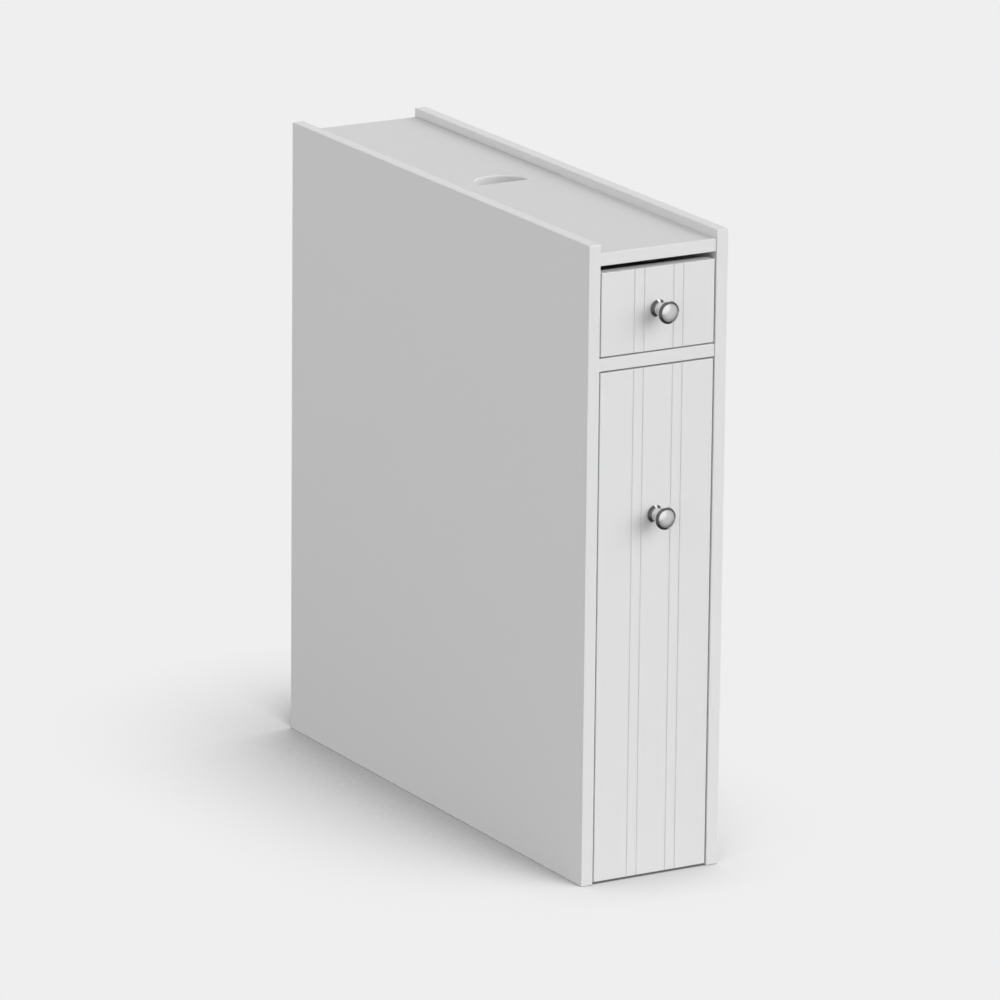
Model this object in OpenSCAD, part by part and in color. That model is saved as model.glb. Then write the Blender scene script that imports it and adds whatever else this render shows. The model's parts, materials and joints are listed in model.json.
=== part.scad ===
// Narrow bathroom cabinet: a slim carcass with two rims along its top, a small
// drawer over a tall pull-out with three tiers, and a flip lid over a rear compartment.
// Millimetres. X runs across the cabinet, Y from the front to the rear, Z up.
// The origin is on the floor, at the middle of the whole outline, knobs included.

/* [Carcass] */
// Overall width across the two side panels
width = 145; // [135:1:200]
// Depth of the side panels from front edge to rear edge
depth = 555; // [500:1:640]
// Overall height
height = 600; // [570:1:760]
// Thickness of the painted boards
board_t = 12; // [12:0.5:15]
// Height of the rims that the side panels make past the top
rim_h = 8; // [4:0.5:20]
// Clear height of the bay over the divider shelf
upper_bay_h = 85.5; // [80:0.5:110]
// Set-back of the top and the divider shelf behind the side panels' front edges
panel_setback = 1; // [0.5:0.1:4]
// Height of the bottom panel's underside over the floor
bottom_z = 8; // [4:0.5:20]
// Thickness of the back panel
back_t = 3; // [2.5:0.5:5]
// How far the back panel laps into each side panel
back_lap = 6; // [4:0.5:8]
// Height of the rail under the lid's hinge side
rear_rail_h = 40; // [36:1:60]
// Bevel that softens the boards' edges
edge_ease = 0.6; // [0.3:0.1:1]

/* [Lid] */
// Length of the fixed top in front of the lid
fixed_top_l = 278; // [250:1:300]
// Gap between the fixed top and the lid
seam_gap = 1; // [0.6:0.1:3]
// Gap at each side of the lid
lid_side_gap = 1; // [0.9:0.1:2]
// Distance of the lid's rear edge in from the side panels' rear edges
lid_inset = 3.5; // [3.5:0.5:8]
// Radius of the finger notch
notch_r = 27; // [15:0.5:40]
// Diameter of the lid's pivot pins
pin_d = 4; // [3:0.5:4.5]

/* [Fronts] */
// Gap at each side of both fronts
front_gap = 1.5; // [1:0.1:3]
// Set-back of both fronts behind the side panels' front edges
front_inset = 0.5; // [0:0.1:3]
// Open slot over the small drawer's front
drawer_slot = 6.5; // [2:0.5:12]
// Gap under the small front and over the tall front
reveal = 1.5; // [1:0.1:3]
// Gap between the tall front and the floor
floor_gap = 2.2; // [1:0.1:6]
// Spacing of the two grooves in a pair
bead_pitch = 10.2; // [6:0.1:16]
// Distance between the middles of the two pairs of grooves
bead_span = 40.7; // [30:0.1:60]
// How far the grooves sit to the right of the front's middle
bead_shift = 0.75; // [-2:0.05:2]
// Width of a groove at the face
bead_w = 1.6; // [0.8:0.1:3]
// Depth of a groove
bead_depth = 0.8; // [0.4:0.1:1.5]

/* [Small drawer] */
// Height of the drawer's sides and back
drawer_side_h = 60; // [55:1:66]
// Thickness of the drawer's bottom
drawer_bottom_t = 3; // [2.5:0.5:5]
// Room between the closed drawer and the wall behind it
drawer_rear_gap = 12; // [5:1:40]
// Distance of the drawer's stop block behind the closed front
drawer_stop_in = 76.2; // [15:0.1:90]

/* [Pull-out] */
// Clear height of the lowest tier
lower_tier_h = 118; // [100:1:135]
// Clear height of the middle tier
middle_tier_h = 118; // [100:1:135]
// Thickness of the guard strips
guard_t = 5; // [4:0.5:8]
// Height of the guard strips
guard_h = 40; // [25:1:60]
// Room between the closed pull-out and the back panel
pull_out_rear_gap = 24; // [10:1:60]
// Distance of the pull-out's stop block behind the closed front
pull_out_stop_in = 109.2; // [60:0.1:240]

/* [Rails] */
// Height of all four rails
rail_h = 10; // [8:0.5:12]
// Width of the small drawer's rails
drawer_rail_w = 6.5; // [5:0.5:7]
// Width of the pull-out's rails
pull_out_rail_w = 10; // [9:0.5:12]
// Width of the grooved runners under the pull-out
runner_w = 16; // [14:0.5:20]
// Height of the grooved runners
runner_h = 24; // [20:0.5:30]

/* [Knobs] */
// Diameter of the knob's foot
knob_foot_d = 17; // [14:0.5:20]
// Diameter of the knob's neck
knob_neck_d = 9.5; // [8:0.5:11]
// Diameter of the knob's head
knob_head_d = 21.6; // [18:0.1:26]
// How far the knob stands out from its front
knob_reach = 22.4; // [18:0.1:30]
// Distance of the pull-out's knob below the tall front's top edge
pull_out_knob_drop = 137.7; // [80:0.1:150]

/* [Hidden] */
$fn = 48;

// Clearances
seat_gap = 0.05;       // round fastener in its hole, each side
running_gap = 0.05;    // pivot pin in its bush, each side
slide_gap = 0.2;       // groove roof over a rail
under_gap = 0.6;       // groove floor under a rail
side_gap = 0.5;        // rail tip to the bottom of its groove
rest_gap = 0.2;        // closed lid over its pads
end_gap = 0.3;         // moving piece to its end stop
overrun = 1;           // cuts run this far past a face
bottom_gap = 2;        // bottom panel behind the tall front
swing_gap = 1;         // rear rail under the lid

// Cam fittings and dowels
cam_d = 12;
cam_h = 9;
cam_setback = 24;      // cam's middle from the joint
cam_slot_w = 1.2;
cam_slot_l = 8;
cam_slot_depth = 1.5;
bolt_d = 5;
bolt_neck_d = 4;
bolt_seat = 8;         // threaded end in the board that it is screwed into
bolt_head_l = 3;
bolt_past = 1.5;       // head past the cam's middle
dowel_d = 6;
dowel_seat = 8;
dowel_reach = 16;
dowel_slack = 0.5;
fixing_in = 40;        // first fitting from a board's end
dowel_off = 32;        // dowel from the fitting beside it

// Screws and nails
screw_d = 3.5;
screw_head_d = 7;
screw_head_h = 2;
screw_bite = 8;        // thread in the board behind the held piece
rear_screw_bite = 18;  // thread in a board's end
knob_screw_d = 4;
knob_screw_head_d = 8;
knob_screw_head_h = 2.6;
knob_screw_bite = 9;
nail_d = 1.4;
nail_head_d = 3;
nail_head_h = 0.6;
nail_l = 14;
brad_d = 1.5;
brad_l = 20;

// Overall places
inner_w = width - 2 * board_t;
half_in = inner_w / 2;
knob_out = knob_reach - front_inset;
front_y = (knob_out - depth) / 2;
top_z = height - rim_h;
top_under = top_z - board_t;
divider_top = top_under - upper_bay_h;
divider_under = divider_top - board_t;
bottom_top = bottom_z + board_t;
rear_y = depth - back_t;
front_back = front_inset + board_t;
half_front = half_in - front_gap;

// Top, lid and rear compartment
seam_y = panel_setback + fixed_top_l;
wall_front = seam_y - board_t;
lid_front = seam_y + seam_gap;
lid_rear = depth - lid_inset;
half_lid = half_in - lid_side_gap;
pivot_y = lid_rear - board_t / 2;
pivot_z = top_z - board_t / 2;
rail_top = top_under - swing_gap;
pin_seat = 8;          // pin in a side panel
bush_l = 10;
bush_wall = 1.5;
washer_wall = 2.5;
washer_t = lid_side_gap - rest_gap;
pad_d = 8;
pad_t = 1.5;
rest_w = 10;           // lid rest block
rest_h = 12;
rest_l = 60;
rest_y = lid_front + bottom_gap;
rest_top = top_under - rest_gap - pad_t;
rest_screw_in = 15;

// Small drawer
drawer_front_z = divider_top + reveal;
drawer_front_top = top_under - drawer_slot;
drawer_lift = 3;       // drawer box over the lower edge of its front
drawer_z = drawer_front_z + drawer_lift;
drawer_top = drawer_z + drawer_side_h;
drawer_rear = wall_front - drawer_rear_gap;
drawer_back_y = drawer_rear - board_t;
drawer_in = half_front - board_t;
groove_h = rail_h + slide_gap + under_gap;
drawer_groove_z = drawer_z + (drawer_side_h - groove_h) / 2;
drawer_groove_d = drawer_rail_w + side_gap - front_gap;
stop_land = 17.5;      // side left solid in front of a groove
groove_y = front_back + stop_land;
rail_y = groove_y + end_gap;
bottom_groove_d = 5;
bottom_lift = 6;
bottom_slack = 0.3;
drawer_cam_drop = 12.5; // fitting below the top of a drawer side
drawer_cam_z = drawer_top - drawer_cam_drop;
drawer_dowel_z = drawer_z + bottom_lift + drawer_bottom_t + dowel_d;
stop_w = 30;
stop_l = 14;
stop_lap = 4;          // stop below the top of the back that it catches
stop_screw_x = 9;
drawer_stop_y = front_back + drawer_stop_in;

// Pull-out
runner_z = bottom_top + bottom_gap;
runner_groove_z = runner_z + (runner_h - groove_h) / 2;
runner_groove_d = 6;
runner_out = half_in - pull_out_rail_w - side_gap + runner_groove_d;
runner_in = runner_out - runner_w;
base_z = runner_z + runner_h;
middle_z = base_z + board_t + lower_tier_h;
upper_z = middle_z + board_t + middle_tier_h;
shelf_zs = [base_z, middle_z, upper_z];
half_shelf = half_front - guard_t;
carriage_rear = rear_y - pull_out_rear_gap;
carriage_back_y = carriage_rear - board_t;
back_drop = 8.5;
carriage_back_top = divider_under - back_drop;
pull_out_top = divider_under - reveal;
shelf_fixing_x = 25;
pull_out_stop_y = front_back + pull_out_stop_in;
drawer_travel = drawer_back_y - drawer_stop_y - stop_l - end_gap;
pull_out_travel = carriage_back_y - pull_out_stop_y - stop_l - end_gap;
rail_screw_in = 20;
rail_end_gap = 2;
guard_brad_in = 30;
guard_brad_ys = [
    front_back + guard_brad_in, (front_back + carriage_back_y) / 2, carriage_back_y - guard_brad_in
];

// Knobs
drawer_knob_z = (drawer_front_z + drawer_front_top) / 2;
pull_out_knob_z = pull_out_top - pull_out_knob_drop;
knob_foot_h = 1.6;
knob_foot_round = 0.7;
knob_cove_z = 8.6;     // neck's narrowest place from the front
knob_rim_round = 1.9;
knob_crown_h = 1.9;
knob_step = 0.35;
knob_rim_from = -30;   // angle at which the flare meets the rim
knob_bore_h = knob_screw_bite + dowel_slack;

// Fittings in the boards that lie level: place along the depth, height
divider_mid = divider_under + board_t / 2;
bottom_mid = bottom_z + board_t / 2;
function level_row(inset) = [
    [panel_setback + inset, pivot_z], [wall_front - inset, pivot_z],
    [panel_setback + inset, divider_mid], [rear_y - inset, divider_mid],
    [front_back + inset, bottom_mid], [rear_y - inset, bottom_mid]
];
level_cams = level_row(fixing_in);
level_dowels = level_row(fixing_in + dowel_off);
// Fittings in the boards that stand upright: the wall, then the rear rail
upright_cams = [
    [seam_y - board_t / 2, top_under - cam_setback],
    [rear_y - board_t / 2, rail_top - cam_d]
];
upright_dowels = [
    [seam_y - board_t / 2, divider_top + cam_setback],
    [rear_y - board_t / 2, rail_top - rear_rail_h + dowel_d + dowel_slack]
];
// Screws into a side panel: place along the depth, height
drawer_rail_end = wall_front - rail_end_gap;
drawer_rail_mid_z = drawer_groove_z + under_gap + rail_h / 2;
drawer_rail_screws = [
    for (y = [rail_y + rail_screw_in, (rail_y + drawer_rail_end) / 2, drawer_rail_end - rail_screw_in])
        [y, drawer_rail_mid_z]
];
pull_out_rail_end = rear_y - rail_end_gap;
pull_out_rail_mid_z = runner_groove_z + under_gap + rail_h / 2;
pull_out_rail_pitch = (pull_out_rail_end - rail_y - 2 * rail_screw_in) / 3;
pull_out_rail_screws = [
    for (i = [0:3]) [rail_y + rail_screw_in + i * pull_out_rail_pitch, pull_out_rail_mid_z]
];
rest_screws = [
    for (y = [rest_y + rest_screw_in, rest_y + rest_l - rest_screw_in]) [y, rest_top - rest_h / 2]
];
// Nails in the back panel: place across, height
nail_x = 40;
nail_rows = [bottom_mid, divider_mid, rail_top - rear_rail_h / 2];
edge_nail_zs = [for (i = [1:3]) bottom_top + i * (divider_under - bottom_top) / 4];
back_nails = concat(
    [for (z = nail_rows) for (x = [-nail_x, 0, nail_x]) [x, z]],
    [for (z = edge_nail_zs) for (s = [-1, 1]) [s * (half_in + back_lap / 2), z]]
);

paint = "white";
raw_board = "burlywood";
steel = "silver";
polished = "gainsboro";
plastic = "ivory";
zinc = "darkgray";

// Places: children are drawn across from the middle, back from the side panels' front edges
module in_cabinet() { translate([0, front_y, 0]) children(); }
module mirrored() { mirror([1, 0, 0]) children(); }
module both_sides() {
    children();
    mirrored() children();
}

// Outline of a board with its corners bevelled
module eased_outline(w, h, ease) {
    polygon([
        [ease, 0], [w - ease, 0], [w, ease], [w, h - ease],
        [w - ease, h], [ease, h], [0, h - ease], [0, ease]
    ]);
}

// Board between two places on each axis, with every edge bevelled
module board(x, y, z, ease = edge_ease) {
    w = x[1] - x[0];
    l = y[1] - y[0];
    h = z[1] - z[0];
    translate([x[0], y[0], z[0]]) intersection() {
        linear_extrude(h) eased_outline(w, l, ease);
        translate([0, l, 0]) rotate([90, 0, 0]) linear_extrude(l) eased_outline(w, h, ease);
        rotate([90, 0, 90]) linear_extrude(w) eased_outline(l, h, ease);
    }
}

// Square-edged block between two places on each axis
module block(x, y, z) {
    translate([x[0], y[0], z[0]]) cube([x[1] - x[0], y[1] - y[0], z[1] - z[0]]);
}

// Fittings, drawn with the joint at x = 0, the held board at x > 0 and its open face up
module cam_lock() {
    translate([cam_setback, 0, board_t / 2 - cam_h]) difference() {
        cylinder(d = cam_d, h = cam_h);
        translate([-cam_d, 0, cam_h - board_t / 2]) rotate([0, 90, 0])
            cylinder(d = bolt_d + 2 * side_gap, h = cam_d + bolt_past + side_gap);
        for (turn = [0, 90]) rotate([0, 0, turn])
            translate([-cam_slot_l / 2, -cam_slot_w / 2, cam_h - cam_slot_depth])
                cube([cam_slot_l, cam_slot_w, cam_slot_depth + overrun]);
    }
}
module cam_bolt() {
    reach = cam_setback + bolt_past;
    rotate([0, 90, 0]) {
        translate([0, 0, -bolt_seat]) cylinder(d = bolt_d, h = bolt_seat);
        cylinder(d = bolt_neck_d, h = reach);
        translate([0, 0, reach - bolt_head_l]) cylinder(d = bolt_d, h = bolt_head_l);
    }
}
module cam_cuts() {
    translate([cam_setback, 0, board_t / 2 - cam_h - seat_gap])
        cylinder(d = cam_d + 2 * seat_gap, h = cam_h + overrun);
    rotate([0, 90, 0]) cylinder(d = bolt_d + 2 * side_gap, h = cam_setback);
}
module bolt_cut() {
    translate([-bolt_seat - seat_gap, 0, 0]) rotate([0, 90, 0])
        cylinder(d = bolt_d + 2 * seat_gap, h = bolt_seat + overrun);
}
module dowel() {
    translate([-dowel_seat, 0, 0]) rotate([0, 90, 0]) cylinder(d = dowel_d, h = dowel_seat + dowel_reach);
}
module dowel_cut() {
    translate([-dowel_seat - dowel_slack, 0, 0]) rotate([0, 90, 0])
        cylinder(d = dowel_d + 2 * seat_gap, h = dowel_seat + dowel_reach + 2 * dowel_slack);
}

// Countersunk screw, its head's face at z = 0 and its tip down
module screw(l, gap = 0) {
    translate([0, 0, -l - gap]) cylinder(d = screw_d + 2 * gap, h = l + gap);
    translate([0, 0, -screw_head_h])
        cylinder(d1 = screw_d + 2 * gap, d2 = screw_head_d + 2 * gap, h = screw_head_h);
}
module screw_cut(l) {
    screw(l, seat_gap);
    cylinder(d = screw_head_d + 2 * seat_gap, h = overrun);
}

// Directions that a screw's tip points in
module tip_left() { rotate([0, 90, 0]) children(); }
module tip_right() { rotate([0, -90, 0]) children(); }
module tip_forward() { rotate([-90, 0, 0]) children(); }
module tip_up() { rotate([180, 0, 0]) children(); }

// Fittings at the left ends of the level and upright boards
module at_level(places) {
    for (p = places) translate([-half_in, p[0], p[1]]) mirror([0, 0, 1]) children();
}
module at_upright(places) {
    for (p = places) translate([-half_in, p[0], p[1]]) rotate([90, 0, 0]) children();
}
module end_cuts() {
    both_sides() {
        at_level(level_cams) cam_cuts();
        at_level(level_dowels) dowel_cut();
        at_upright(upright_cams) cam_cuts();
        at_upright(upright_dowels) dowel_cut();
    }
}

// Screws that hold a strip of a given width to the left side panel
module strip_screws(places, w) {
    for (p = places) translate([w - half_in, p[0], p[1]]) tip_left() screw(w + screw_bite);
}
module strip_screw_cuts(places, w) {
    for (p = places) translate([w - half_in, p[0], p[1]]) tip_left() screw_cut(w + screw_bite);
}

// Carcass
module side_panel() {
    difference() {
        board([-width / 2, -half_in], [0, depth], [0, height]);
        block([-half_in - back_lap, -half_in + overrun], [rear_y, depth + overrun], [-overrun, rail_top]);
        at_level(concat(level_cams, upright_cams)) bolt_cut();
        at_level(concat(level_dowels, upright_dowels)) dowel_cut();
        strip_screw_cuts(drawer_rail_screws, drawer_rail_w);
        strip_screw_cuts(pull_out_rail_screws, pull_out_rail_w);
        strip_screw_cuts(rest_screws, rest_w);
        translate([-half_in - pin_seat - seat_gap, pivot_y, pivot_z]) rotate([0, 90, 0])
            cylinder(d = pin_d + 2 * seat_gap, h = pin_seat + overrun);
        for (z = edge_nail_zs) translate([-half_in - back_lap / 2, depth, z]) nail_cut();
    }
}
module left_side_panel() { color(paint) in_cabinet() side_panel(); }
module right_side_panel() { color(paint) in_cabinet() mirrored() side_panel(); }

module fixed_top_panel() {
    color(paint) in_cabinet() difference() {
        board([-half_in, half_in], [panel_setback, seam_y], [top_under, top_z]);
        end_cuts();
        stop_screw_cuts();
    }
}
module divider_shelf() {
    color(paint) in_cabinet() difference() {
        board([-half_in, half_in], [panel_setback, rear_y], [divider_under, divider_top]);
        end_cuts();
        stop_screw_cuts();
        for (p = back_nails) translate([p[0], depth, p[1]]) nail_cut();
    }
}
module compartment_wall() {
    color(paint) in_cabinet() difference() {
        board([-half_in, half_in], [wall_front, seam_y], [divider_top, top_under]);
        end_cuts();
    }
}
module bottom_panel() {
    color(paint) in_cabinet() difference() {
        board([-half_in, half_in], [front_back + bottom_gap, rear_y], [bottom_z, bottom_top]);
        end_cuts();
        for (p = back_nails) translate([p[0], depth, p[1]]) nail_cut();
    }
}
module rear_top_rail() {
    color(paint) in_cabinet() difference() {
        board([-half_in, half_in], [rear_y - board_t, rear_y], [rail_top - rear_rail_h, rail_top]);
        end_cuts();
        for (p = back_nails) translate([p[0], depth, p[1]]) nail_cut();
    }
}
module back_panel() {
    color(raw_board) in_cabinet() difference() {
        block([-half_in - back_lap, half_in + back_lap], [rear_y, depth], [bottom_z, rail_top]);
        for (p = back_nails) translate([p[0], depth, p[1]]) nail_cut();
    }
}

// Nail with its head's face at y = 0, driven forward
module nail(gap = 0) {
    tip_forward() {
        translate([0, 0, -nail_l - gap]) cylinder(d = nail_d + 2 * gap, h = nail_l + gap);
        translate([0, 0, -nail_head_h - gap]) cylinder(d = nail_head_d + 2 * gap, h = nail_head_h + gap);
    }
}
module nail_cut() {
    nail(seat_gap);
    tip_forward() cylinder(d = nail_head_d + 2 * seat_gap, h = overrun);
}
module back_panel_nails() {
    color(steel) in_cabinet() for (p = back_nails) translate([p[0], depth, p[1]]) nail();
}

// Rails on the side panels
module drawer_rail() {
    difference() {
        block([-half_in, drawer_rail_w - half_in], [rail_y, drawer_rail_end],
            [drawer_groove_z + under_gap, drawer_groove_z + under_gap + rail_h]);
        strip_screw_cuts(drawer_rail_screws, drawer_rail_w);
    }
}
module pull_out_rail() {
    difference() {
        block([-half_in, pull_out_rail_w - half_in], [rail_y, pull_out_rail_end],
            [runner_groove_z + under_gap, runner_groove_z + under_gap + rail_h]);
        strip_screw_cuts(pull_out_rail_screws, pull_out_rail_w);
    }
}
module left_drawer_rail() { color(raw_board) in_cabinet() drawer_rail(); }
module right_drawer_rail() { color(raw_board) in_cabinet() mirrored() drawer_rail(); }
module left_pull_out_rail() { color(raw_board) in_cabinet() pull_out_rail(); }
module right_pull_out_rail() { color(raw_board) in_cabinet() mirrored() pull_out_rail(); }

// Blocks that the lid's front corners rest on
module lid_rest() {
    difference() {
        board([-half_in, rest_w - half_in], [rest_y, rest_y + rest_l], [rest_top - rest_h, rest_top]);
        strip_screw_cuts(rest_screws, rest_w);
    }
}
module left_lid_rest() { color(paint) in_cabinet() lid_rest(); }
module right_lid_rest() { color(paint) in_cabinet() mirrored() lid_rest(); }
module lid_rest_pads() {
    color(plastic) in_cabinet() both_sides()
        translate([rest_w / 2 - half_in, rest_y + pad_d, rest_top]) cylinder(d = pad_d, h = pad_t);
}

// Hinge of the lid
module lid_pivot_pins() {
    color(steel) in_cabinet() both_sides()
        translate([-half_in - pin_seat, pivot_y, pivot_z]) rotate([0, 90, 0])
            cylinder(d = pin_d, h = pin_seat + lid_side_gap + bush_l - dowel_slack);
}
module lid_washers() {
    color(plastic) in_cabinet() both_sides()
        translate([-half_in, pivot_y, pivot_z]) rotate([0, 90, 0]) difference() {
            cylinder(d = pin_d + 2 * washer_wall, h = washer_t);
            translate([0, 0, -overrun]) cylinder(d = pin_d + 2 * running_gap, h = washer_t + 2 * overrun);
        }
}
module lid_bushes() {
    color(plastic) in_cabinet() both_sides()
        translate([-half_lid, pivot_y, pivot_z]) rotate([0, 90, 0]) difference() {
            cylinder(d = pin_d + 2 * bush_wall, h = bush_l);
            translate([0, 0, -overrun]) cylinder(d = pin_d + 2 * running_gap, h = bush_l + 2 * overrun);
        }
}
// Side view of the lid: square at the top of its rear edge, round below to clear the rail
module lid_section() {
    translate([lid_front, top_under]) eased_outline(pivot_y - lid_front + board_t / 4, board_t, edge_ease);
    translate([pivot_y, pivot_z]) circle(d = board_t);
    translate([pivot_y - board_t / 4, pivot_z])
        eased_outline(board_t / 4 + board_t / 2, board_t / 2, edge_ease);
}
module flip_lid() {
    color(paint) in_cabinet() difference() {
        intersection() {
            translate([-half_lid, 0, 0]) rotate([90, 0, 90]) linear_extrude(2 * half_lid) lid_section();
            translate([-half_lid, lid_front, top_under])
                linear_extrude(board_t) eased_outline(2 * half_lid, lid_rear - lid_front, edge_ease);
        }
        translate([0, lid_front, top_under - overrun]) cylinder(r = notch_r, h = board_t + 2 * overrun);
        both_sides() translate([-half_lid - overrun, pivot_y, pivot_z]) rotate([0, 90, 0])
            cylinder(d = pin_d + 2 * bush_wall + 2 * seat_gap, h = bush_l + overrun + seat_gap);
    }
}

// Blocks that stop the drawer and the pull-out
module stop_block(y, z) {
    difference() {
        board([-stop_w / 2, stop_w / 2], [y, y + stop_l], z);
        stop_screw_cuts();
    }
}
module drawer_stop() {
    color(paint) in_cabinet() stop_block(drawer_stop_y, [drawer_top - stop_lap, top_under]);
}
module pull_out_stop() {
    color(paint) in_cabinet() stop_block(pull_out_stop_y, [carriage_back_top - stop_lap, divider_under]);
}
// Screws of both stops: place along the depth, lower face, upper face
stop_rows = [
    [drawer_stop_y + stop_l / 2, drawer_top - stop_lap, top_under],
    [pull_out_stop_y + stop_l / 2, carriage_back_top - stop_lap, divider_under]
];
module stop_screws() {
    color(steel) in_cabinet() both_sides() for (r = stop_rows)
        translate([stop_screw_x, r[0], r[1]]) tip_up() screw(r[2] - r[1] + screw_bite);
}
module stop_screw_cuts() {
    both_sides() for (r = stop_rows)
        translate([stop_screw_x, r[0], r[1]]) tip_up() screw_cut(r[2] - r[1] + screw_bite);
}

// Fasteners of the carcass
module cabinet_cam_locks() {
    color(zinc) in_cabinet() both_sides() {
        at_level(level_cams) cam_lock();
        at_upright(upright_cams) cam_lock();
    }
}
module cabinet_cam_bolts() {
    color(steel) in_cabinet() both_sides() at_level(concat(level_cams, upright_cams)) cam_bolt();
}
module cabinet_dowels() {
    color(raw_board) in_cabinet() both_sides() at_level(concat(level_dowels, upright_dowels)) dowel();
}
module rail_screws() {
    color(steel) in_cabinet() both_sides() {
        strip_screws(drawer_rail_screws, drawer_rail_w);
        strip_screws(pull_out_rail_screws, pull_out_rail_w);
        strip_screws(rest_screws, rest_w);
    }
}

// Grooved front between two heights; the grooves run right through its ends
module grooved_front(z) {
    difference() {
        board([-half_front, half_front], [front_inset, front_back], z);
        for (pair = [-1, 1]) for (one = [-1, 1])
            translate([bead_shift + (pair * bead_span + one * bead_pitch) / 2, front_inset, z[0] - overrun])
                linear_extrude(z[1] - z[0] + 2 * overrun)
                    polygon([[-bead_w / 2, 0], [0, bead_depth], [bead_w / 2, 0], [bead_w / 2, -overrun],
                        [-bead_w / 2, -overrun]]);
    }
}
// Knob, its axis up and its foot at z = 0
function arc(cx, cy, r, from, to, steps) =
    [for (i = [0:steps]) let (a = from + (to - from) * i / steps) [cx + r * cos(a), cy + r * sin(a)]];
module knob_profile() {
    foot_r = knob_foot_d / 2;
    head_r = knob_head_d / 2;
    neck_r = knob_neck_d / 2;
    rim_z = knob_reach - knob_crown_h - knob_rim_round;
    cove_r = knob_cove_z - knob_foot_h;
    flare_w = head_r - neck_r - knob_rim_round / 2;
    flare_h = rim_z - knob_rim_round / 2 - knob_cove_z;
    crown_r = head_r - knob_rim_round - knob_step;
    dome_h = knob_crown_h + knob_step;
    dome_r = (crown_r * crown_r + dome_h * dome_h) / (2 * dome_h);
    dome_a = asin(crown_r / dome_r);
    cove_w = foot_r - knob_foot_round - neck_r;
    polygon(concat(
        [[0, 0], [foot_r, 0]],
        arc(foot_r - knob_foot_round, knob_foot_h - knob_foot_round, knob_foot_round, 0, 90, 4),
        [for (i = [0:8]) let (a = i * 90 / 8)
            [neck_r + cove_w * (1 - sin(a)), knob_cove_z - cove_r * cos(a)]],
        [for (i = [1:8]) let (a = i * 90 / 8)
            [neck_r + flare_w * (1 - cos(a)), knob_cove_z + flare_h * sin(a)]],
        arc(head_r - knob_rim_round, rim_z, knob_rim_round, knob_rim_from, 90, 8),
        arc(0, knob_reach - dome_r, dome_r, 90 - dome_a, 90, 8)
    ));
}
module knob() {
    difference() {
        rotate_extrude() knob_profile();
        translate([0, 0, -overrun]) cylinder(d = knob_screw_d + 2 * seat_gap, h = knob_bore_h + overrun);
    }
}
// Knobs and their screws on the two fronts
module at_knob(z) { translate([0, front_inset, z]) rotate([90, 0, 0]) children(); }
module knob_screw() {
    translate([0, 0, -board_t]) cylinder(d = knob_screw_d, h = board_t + knob_screw_bite);
    translate([0, 0, -board_t - knob_screw_head_h]) cylinder(d = knob_screw_head_d, h = knob_screw_head_h);
}
module knob_screw_cut() {
    translate([0, 0, -board_t - overrun])
        cylinder(d = knob_screw_d + 2 * seat_gap, h = board_t + 2 * overrun);
}

// Small drawer
module at_drawer_joint(z) {
    translate([board_t / 2 - half_front, front_back, z]) rotate([90, 0, 90]) children();
}
module drawer_front() {
    color(paint) in_cabinet() difference() {
        grooved_front([drawer_front_z, drawer_front_top]);
        at_knob(drawer_knob_z) knob_screw_cut();
        drawer_bottom_cut();
        both_sides() at_drawer_joint(drawer_cam_z) bolt_cut();
        both_sides() at_drawer_joint(drawer_dowel_z) dowel_cut();
    }
}
module drawer_bottom_cut() {
    block([-drawer_in - bottom_groove_d, drawer_in + bottom_groove_d],
        [front_back - bottom_groove_d, drawer_back_y + bottom_groove_d],
        [drawer_z + bottom_lift - seat_gap, drawer_z + bottom_lift + drawer_bottom_t + seat_gap]);
}
module drawer_back_screws_at() {
    for (z = [drawer_groove_z - screw_head_d, drawer_groove_z + groove_h + screw_head_d])
        translate([-half_front, drawer_rear - board_t / 2, z]) tip_right() children();
}
module drawer_side() {
    difference() {
        board([-half_front, -drawer_in], [front_back, drawer_rear], [drawer_z, drawer_top]);
        block([-half_front - overrun, drawer_groove_d - half_front], [groove_y, drawer_rear + overrun],
            [drawer_groove_z, drawer_groove_z + groove_h]);
        drawer_bottom_cut();
        at_drawer_joint(drawer_cam_z) cam_cuts();
        at_drawer_joint(drawer_dowel_z) dowel_cut();
        drawer_back_screws_at() screw_cut(board_t + rear_screw_bite);
    }
}
module drawer_left_side() { color(paint) in_cabinet() drawer_side(); }
module drawer_right_side() { color(paint) in_cabinet() mirrored() drawer_side(); }
module drawer_back() {
    color(paint) in_cabinet() difference() {
        board([-drawer_in, drawer_in], [drawer_back_y, drawer_rear], [drawer_z, drawer_top]);
        drawer_bottom_cut();
        both_sides() drawer_back_screws_at() screw_cut(board_t + rear_screw_bite);
    }
}
module drawer_bottom() {
    x = drawer_in + bottom_groove_d - bottom_slack;
    color(raw_board) in_cabinet() block([-x, x],
        [front_back - bottom_groove_d + bottom_slack, drawer_back_y + bottom_groove_d - bottom_slack],
        [drawer_z + bottom_lift, drawer_z + bottom_lift + drawer_bottom_t]);
}
module drawer_knob() { color(polished) in_cabinet() at_knob(drawer_knob_z) knob(); }
module drawer_knob_screw() { color(steel) in_cabinet() at_knob(drawer_knob_z) knob_screw(); }
module drawer_cam_locks() {
    color(zinc) in_cabinet() both_sides() at_drawer_joint(drawer_cam_z) cam_lock();
}
module drawer_cam_bolts() {
    color(steel) in_cabinet() both_sides() at_drawer_joint(drawer_cam_z) cam_bolt();
}
module drawer_dowels() {
    color(raw_board) in_cabinet() both_sides() at_drawer_joint(drawer_dowel_z) dowel();
}
module drawer_back_screws() {
    color(steel) in_cabinet() both_sides() drawer_back_screws_at() screw(board_t + rear_screw_bite);
}

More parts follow.
